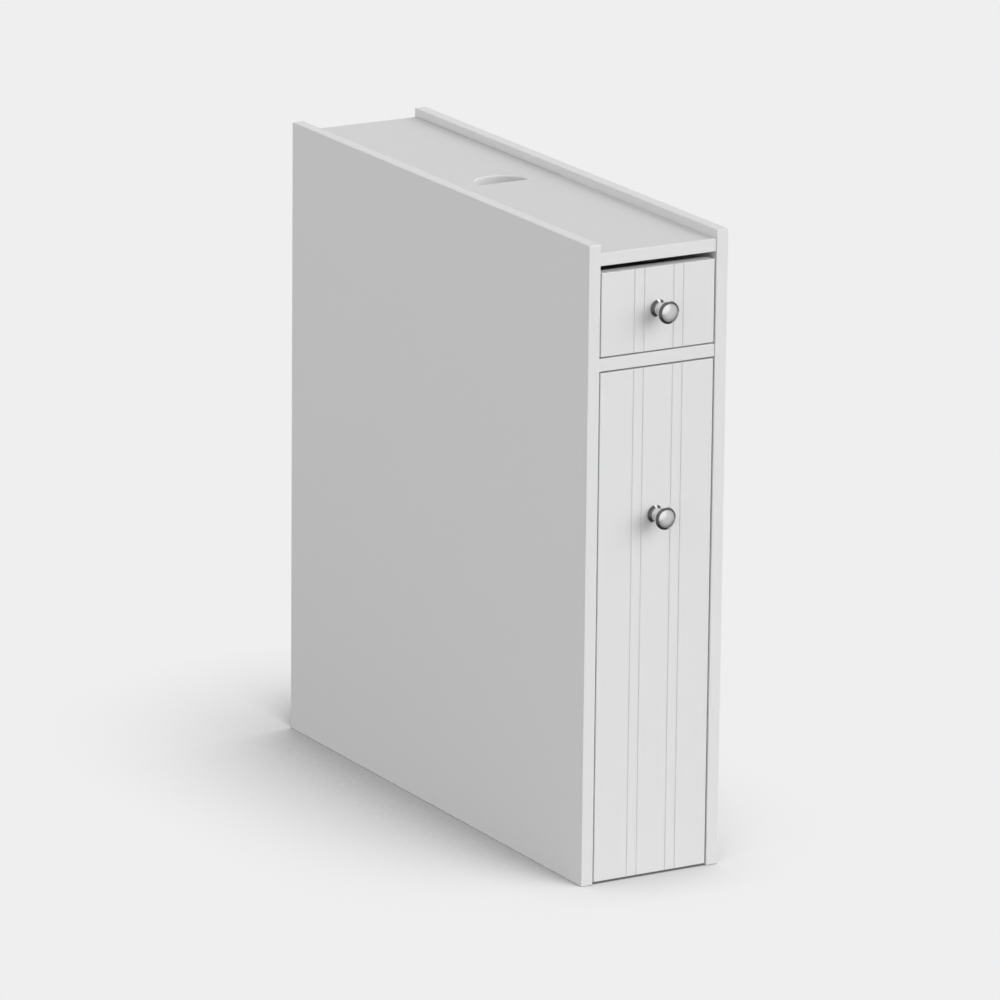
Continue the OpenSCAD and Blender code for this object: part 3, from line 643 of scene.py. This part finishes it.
def cam_recipe():
    """Cam lock: a round body with a sunk face and a cross recess, its rim at z = 0."""
    recipe = Recipe("cam_lock", ("Diameter", "Height", "Rim", "Recess length", "Recess width", "Seed"))
    radius, height, rim = recipe["Diameter"] / 2, recipe["Height"], recipe["Rim"]
    body = recipe.cylinder(CAM_SIDES, radius, height, 0.0)
    dish = recipe.cone(CAM_SIDES, radius - rim / 2, radius - rim, rim, rim * -0.45)
    recess = cross_recess(recipe, recipe["Recess width"], recipe["Recess length"], height * 0.3)
    recipe.end(on_points(recipe, recipe.less(recipe.less(body, dish), *recess)))
    return recipe


# Fasteners


def solids(node):
    """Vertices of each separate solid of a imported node, as arrays."""
    mesh = NODES[node].data
    points = np.array([v.co for v in mesh.vertices])
    keys = {}
    merged = [keys.setdefault(tuple(np.round(p / NEAR).astype(int)), len(keys)) for p in points]
    parent = list(range(len(keys)))

    def root(i):
        while parent[i] != i:
            parent[i] = parent[parent[i]]
            i = parent[i]
        return i

    for polygon in mesh.polygons:
        first, *others = (root(merged[v]) for v in polygon.vertices)
        for other in others:
            parent[root(other)] = root(first)
    groups = defaultdict(list)
    for i, m in enumerate(merged):
        groups[root(m)].append(points[i])
    return [np.array(group) for group in groups.values()]


END_ZONE = 0.05 * MM


def placed(points):
    """Where a turned solid's head is, where it faces and how long the solid is.

    Its axis is the one whose size is the odd one out, and its head is at the wider end.
    """
    low, high = points.min(0), points.max(0)
    size = high - low
    middle = (low + high) / 2
    odd = max(range(3), key=lambda i: abs(size[i] - np.median(size)))
    across = [i for i in range(3) if i != odd]
    radii = np.hypot(*(points[:, across] - middle[across]).T)
    ends = []
    for side, place in ((-1, low[odd]), (1, high[odd])):
        near = np.abs(points[:, odd] - place) < END_ZONE
        ends.append((round(radii[near].max() / MM, 2), int(near.sum()), side, place))
    *_, side, place = max(ends)
    head, facing = middle.copy(), np.zeros(3)
    head[odd], facing[odd] = place, side
    return head, facing, size[odd]


def add_fasteners(node, recipe, values, measured):
    """Replaces a node's plain fasteners by detailed ones, grouped by length.

    Measured names the recipe's input that takes the length, or is None where values hold them all.
    """
    groups = defaultdict(list)
    for points in solids(node):
        head, facing, length = placed(points)
        groups[round(length / MM, 1)].append((head, facing))
    whole = bmesh.new()
    for seed, (length, places) in enumerate(sorted(groups.items())):
        heads, facings = zip(*places)
        points = bpy.data.meshes.new("points")
        points.from_pydata(heads, [], [])
        attribute = points.attributes.new("facing", "FLOAT_VECTOR", "POINT")
        attribute.data.foreach_set("vector", np.array(facings).ravel())
        sized = {measured: length * MM} if measured else {}
        given = {**values, **sized, "Seed": seed, "Finish": finish_of(node)}
        whole.from_mesh(recipe.make(points, given))
    mesh = bpy.data.meshes.new(node)
    whole.to_mesh(mesh)
    whole.free()
    add_piece(node + "_set", mesh, node)


# Knobs


KNOB_STEPS = 112


def knob_profile():
    """Half outline of a knob, as (radius, distance from the front), in millimetres."""
    foot_r, neck_r, head_r, reach = 8.5, 4.75, 10.8, 22.4
    bore_r, bore_h = 2.05, 9.5
    foot_edge_r, foot_edge_h = 0.5, 0.8
    slope_r, slope_h = 6.2, 3.2
    neck_h = 8.6
    rim_r, rim_h, under_rim = 1.3, reach - 3.91, 1.0
    crown_r, crown_tilt = 8.6, 20
    ring_width, ring_sink = 0.15, 0.2
    cove_steps = 16
    cove = [math.radians(i * 90 / cove_steps) for i in range(1, cove_steps + 1)]
    outline = [(0, bore_h), (bore_r, bore_h), (bore_r, 0), (foot_r, 0)]
    outline += arc(foot_r - foot_edge_r, foot_edge_h, foot_edge_r, 0, 45, steps=5)
    outline.append((slope_r, slope_h))
    for a in cove:
        outline.append((
            neck_r + (slope_r - neck_r) * (1 - math.sin(a)),
            neck_h - (neck_h - slope_h) * math.cos(a),
        ))
    for a in cove[:-1]:
        outline.append((
            neck_r + (head_r - under_rim - neck_r) * (1 - math.cos(a)),
            neck_h + (rim_h - under_rim - neck_h) * math.sin(a),
        ))
    outline += arc(head_r - rim_r, rim_h, rim_r, -35, 53, steps=9)
    dome_r = crown_r / math.sin(math.radians(crown_tilt))
    dome_base = reach - dome_r * (1 - math.cos(math.radians(crown_tilt)))
    outline.append((crown_r + ring_width, dome_base - ring_sink))
    outline += arc(0, reach - dome_r, dome_r, 90 - crown_tilt, 90, steps=16)
    return [(max(r, 0.0), z) for r, z in outline]


def add_knob(node):
    """Knob turned about its own axis, which points out of the front."""
    low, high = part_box(node)
    centre_x, seat_y, centre_z = (low[0] + high[0]) / 2, high[1], (low[2] + high[2]) / 2
    profile = knob_profile()
    turns = [2 * math.pi * i / KNOB_STEPS for i in range(KNOB_STEPS)]
    bm = bmesh.new()
    uv = bm.loops.layers.uv.new("turned")
    rings = []
    for r, z in profile:
        if r * MM < NEAR:
            rings.append([bm.verts.new((centre_x, seat_y - z * MM, centre_z))] * KNOB_STEPS)
            continue
        rings.append([
            bm.verts.new((
                centre_x + r * MM * math.cos(a), seat_y - z * MM, centre_z + r * MM * math.sin(a),
            ))
            for a in turns
        ])
    way = [0.0]
    for (r0, z0), (r1, z1) in zip(profile, profile[1:]):
        way.append(way[-1] + math.hypot(r1 - r0, z1 - z0))
    for k in range(len(profile) - 1):
        for i in range(KNOB_STEPS):
            j = (i + 1) % KNOB_STEPS
            corners = [(rings[k][i], i, k), (rings[k][j], i + 1, k),
                       (rings[k + 1][j], i + 1, k + 1), (rings[k + 1][i], i, k + 1)]
            unique = [c for n, c in enumerate(corners) if c[0] not in [d[0] for d in corners[:n]]]
            face = bm.faces.new([c[0] for c in unique])
            for loop, (_, u, v) in zip(face.loops, unique):
                loop[uv].uv = (u / KNOB_STEPS, way[v] / way[-1])
    add_piece(node + "_turned", mesh_from(bm, node), node, smooth_angle=40)


# Building


GROOVE_WIDTH = 1.6 * MM
GROOVE_DEPTH = 0.8 * MM
GROOVE_PITCH = 10.2 * MM
PAIR_SPAN = 40.7 * MM
GROOVE_SHIFT = 0.75 * MM
GROOVE_OVERRUN = 2 * MM

WOOD_SCREW = {
    "Head diameter": 7 * MM, "Head height": 2 * MM, "Neck diameter": 3.5 * MM, "Shank diameter": 3.5 * MM,
    "Pitch": 1.5 * MM,
}
KNOB_SCREW = {
    "Head diameter": 8 * MM, "Head height": 2.6 * MM, "Neck diameter": 7.4 * MM, "Shank diameter": 4 * MM,
    "Pitch": 0.7 * MM,
}
PANEL_NAIL = {"Head diameter": 3 * MM, "Head height": 0.6 * MM, "Shank diameter": 1.4 * MM}
BRAD = {"Head diameter": 1.5 * MM, "Head height": 0.8 * MM, "Shank diameter": 1.3 * MM}
CAM = {
    "Diameter": 12 * MM, "Height": 9 * MM, "Rim": 0.8 * MM, "Recess length": 7.5 * MM,
    "Recess width": 1.4 * MM,
}

for side, inner in (("left", 1), ("right", -1)):
    add_side_panel(side + "_side_panel", inner)
for name in ("fixed_top_panel", "divider_shelf"):
    add_piece(name + "_board", board(name), name)
add_lid()

grooves = groove_recipe()
for name in ("drawer_front", "pull_out_front"):
    low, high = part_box(name)
    grooved = grooves.make(board(name), {
        "Groove width": GROOVE_WIDTH, "Groove depth": GROOVE_DEPTH, "Groove pitch": GROOVE_PITCH,
        "Pair span": PAIR_SPAN, "Shift": GROOVE_SHIFT, "Face": low[1],
        "Length": high[2] - low[2] + 2 * GROOVE_OVERRUN, "Middle": (low[2] + high[2]) / 2,
        "Finish": finish_of(name),
    })
    add_piece(name + "_board", grooved, name)

for name in ("drawer_knob", "pull_out_knob"):
    add_knob(name)

screws, nails, cams = screw_recipe(), nail_recipe(), cam_recipe()
for name in ("rail_screws", "stop_screws", "drawer_back_screws", "pull_out_back_screws", "runner_screws"):
    add_fasteners(name, screws, WOOD_SCREW, "Length")
for name in ("drawer_knob_screw", "pull_out_knob_screw"):
    add_fasteners(name, screws, KNOB_SCREW, "Length")
add_fasteners("back_panel_nails", nails, PANEL_NAIL, "Length")
add_fasteners("guard_brads", nails, BRAD, "Length")
for name in ("cabinet_cam_locks", "drawer_cam_locks", "pull_out_cam_locks"):
    add_fasteners(name, cams, CAM, None)

for name, node in NODES.items():
    if not node.hide_render:
        node.data.materials.clear()
        node.data.materials.append(finish_of(name))


# Studio


# Tone that the camera sees behind and below the object.
BACKDROP = 0.863

# The floor, and its painted shadow where the object covers it: ambient occlusion darkens the emitted tone
# that the camera sees. A cover is an aim, a reach and a number of samples.
FLOOR_REACH = 14.0
FLOOR_DROP = 0.2 * MM
FLOOR_ALBEDO = 0.5
BROAD_COVER = ((-0.7, -1.0, 1.0), 0.5, 15)
NEAR_COVER = ((0.8, -0.5, 1.0), 0.26, 10)
FLOOR_SHADE = 3.4
FOOT_COVER = ((0.4, 3.0, 1.0), 0.07, 6)
FOOT_SHADE = 0.16
DEEPEST_SHADE = 0.15

# The light that falls on the object. A lamp is a power, an aim, and an inner and outer angle in degrees.
EVEN = 0.09
KEY = (3.16, (0.39, -0.79, 0.457), 0, 34)
RIGHT = (2.25, (0.9, -0.3, 0.3), 0, 42)
FILL = (1.18, (-0.85, -0.2, 0.4), 0, 62)
REAR = (0.4, (0.2, 0.97, 0.0), 0, 55)

# What metal mirrors: soft boxes in the same form, a room that is dimmer below, and the backdrop behind.
FRONT_BOX = (0.86, (0.1, -0.97, 0.18), 4, 42)
SIDE_BOX = (0.54, (0.5, -0.86, -0.1), 0, 50)
TOP_BOX = (1.2, (0.4, -0.1, 0.92), 13, 23)
ROOM_BELOW = 0.04
ROOM_RISE = 0.08
ROOM_STEP = (-0.85, -0.3)
BACKDROP_STEP = (0.42, 0.72)

# The camera: its place, the way it looks, its upright, its lens and sensor in millimetres and its sight.
CAMERA_PLACE = (-3.62671, -6.26247, 2.31177)
CAMERA_LOOK = (0.481883, 0.833909, -0.269043)
CAMERA_UP = (0.125772, 0.238038, 0.963078)
LENS = 290.15
SENSOR = 36.0
SIGHT = 60.0


def studio_floor():
    """Pale floor. The camera sees the backdrop's tone as emission, with a painted shadow where the object
    covers the floor.
    """
    bm = bmesh.new()
    bmesh.ops.create_grid(bm, x_segments=8, y_segments=8, size=FLOOR_REACH)
    floor = new_object("floor", mesh_from(bm, "floor"))
    floor.location.z = -FLOOR_DROP
    floor.visible_glossy = False
    stuff = Finish("floor")
    seen = stuff.add("ShaderNodeLightPath", output="Is Camera Ray")
    matt = stuff.add("ShaderNodeBsdfDiffuse", None, {"Color": (FLOOR_ALBEDO,) * 3})

    def cover(aim, reach, samples):
        """How much of the sky about the aim the object covers within its reach."""
        light = stuff.add("ShaderNodeVectorMath", {"operation": "NORMALIZE"}, {0: aim})
        return 1 - stuff.add(
            "ShaderNodeAmbientOcclusion", {"samples": samples}, {"Distance": reach, "Normal": light}, "AO")

    # Painted shadow: ambient occlusion lowers the emitted tone that the camera sees on the floor.
    broad = cover(*BROAD_COVER) * cover(*NEAR_COVER) * FLOOR_SHADE
    shade = stuff.math("MAXIMUM", 1 - broad - cover(*FOOT_COVER) * FOOT_SHADE, DEEPEST_SHADE)
    tone = stuff.add("ShaderNodeEmission", None, {"Color": (1, 1, 1), "Strength": shade * BACKDROP})
    both = stuff.add("ShaderNodeMixShader", None, {0: seen, 1: matt, 2: tone})
    below = stuff.add("ShaderNodeNewGeometry", output="Backfacing")
    open_below = stuff.add("ShaderNodeMixShader", None, {
        0: below * seen, 1: both, 2: stuff.add("ShaderNodeBsdfTransparent"),
    })
    stuff.add("ShaderNodeOutputMaterial", None, {"Surface": open_below})
    floor.data.materials.append(stuff.material)


def studio_world():
    """Soft light. The camera sees the backdrop's tone; metal mirrors it, a dim room and three soft boxes."""
    world = bpy.data.worlds.new("studio")
    bpy.context.scene.world = world
    world.use_nodes = True
    sky = Tree(world.node_tree)
    sky.tree.nodes.clear()
    path = sky.add("ShaderNodeLightPath")
    direction = sky.add("ShaderNodeTexCoord", output="Generated")

    def towards(aim):
        unit = tuple(Vector(aim).normalized())
        return sky.add(
            "ShaderNodeVectorMath", {"operation": "DOT_PRODUCT"}, {0: direction, 1: unit}, "Value")

    def glow(power, aim, inner, outer):
        """The power within the inner angle of the aim, falling softly to 0 at the outer one."""
        low, high = (math.cos(math.radians(angle)) for angle in (outer, inner))
        return sky.smooth(towards(aim), low, high) * power

    room = sky.smooth(towards((0, 0, 1)), *ROOM_STEP) * ROOM_RISE + ROOM_BELOW
    boxes = sky.math("MAXIMUM", glow(*FRONT_BOX), glow(*SIDE_BOX)) + glow(*TOP_BOX)
    behind = sky.smooth(towards((0, 1, 0)), *BACKDROP_STEP) * BACKDROP
    mirrored = room + boxes + behind
    lit = EVEN + glow(*KEY) + glow(*RIGHT) + glow(*FILL) + glow(*REAR)
    strength = lit + path["Is Glossy Ray"] * (mirrored - lit)
    seen = sky.math("MAXIMUM", path["Is Camera Ray"], path["Is Transmission Ray"])
    strength = strength + seen * (BACKDROP - strength)
    background = sky.add("ShaderNodeBackground", None, {"Color": (1, 1, 1), "Strength": strength})
    sky.add("ShaderNodeOutputWorld", None, {"Surface": background})


def camera():
    """Camera at the photograph's place."""
    data = bpy.data.cameras.new("camera")
    data.lens, data.sensor_width, data.clip_end = LENS, SENSOR, SIGHT
    obj = new_object("camera", data)
    forward = Vector(CAMERA_LOOK).normalized()
    right = forward.cross(Vector(CAMERA_UP)).normalized()
    up = right.cross(forward)
    turn = Matrix((right, up, -forward)).transposed().to_4x4()
    obj.matrix_world = Matrix.Translation(CAMERA_PLACE) @ turn
    bpy.context.scene.camera = obj


studio_floor()
studio_world()
camera()
bpy.context.scene.view_settings.view_transform = "Standard"
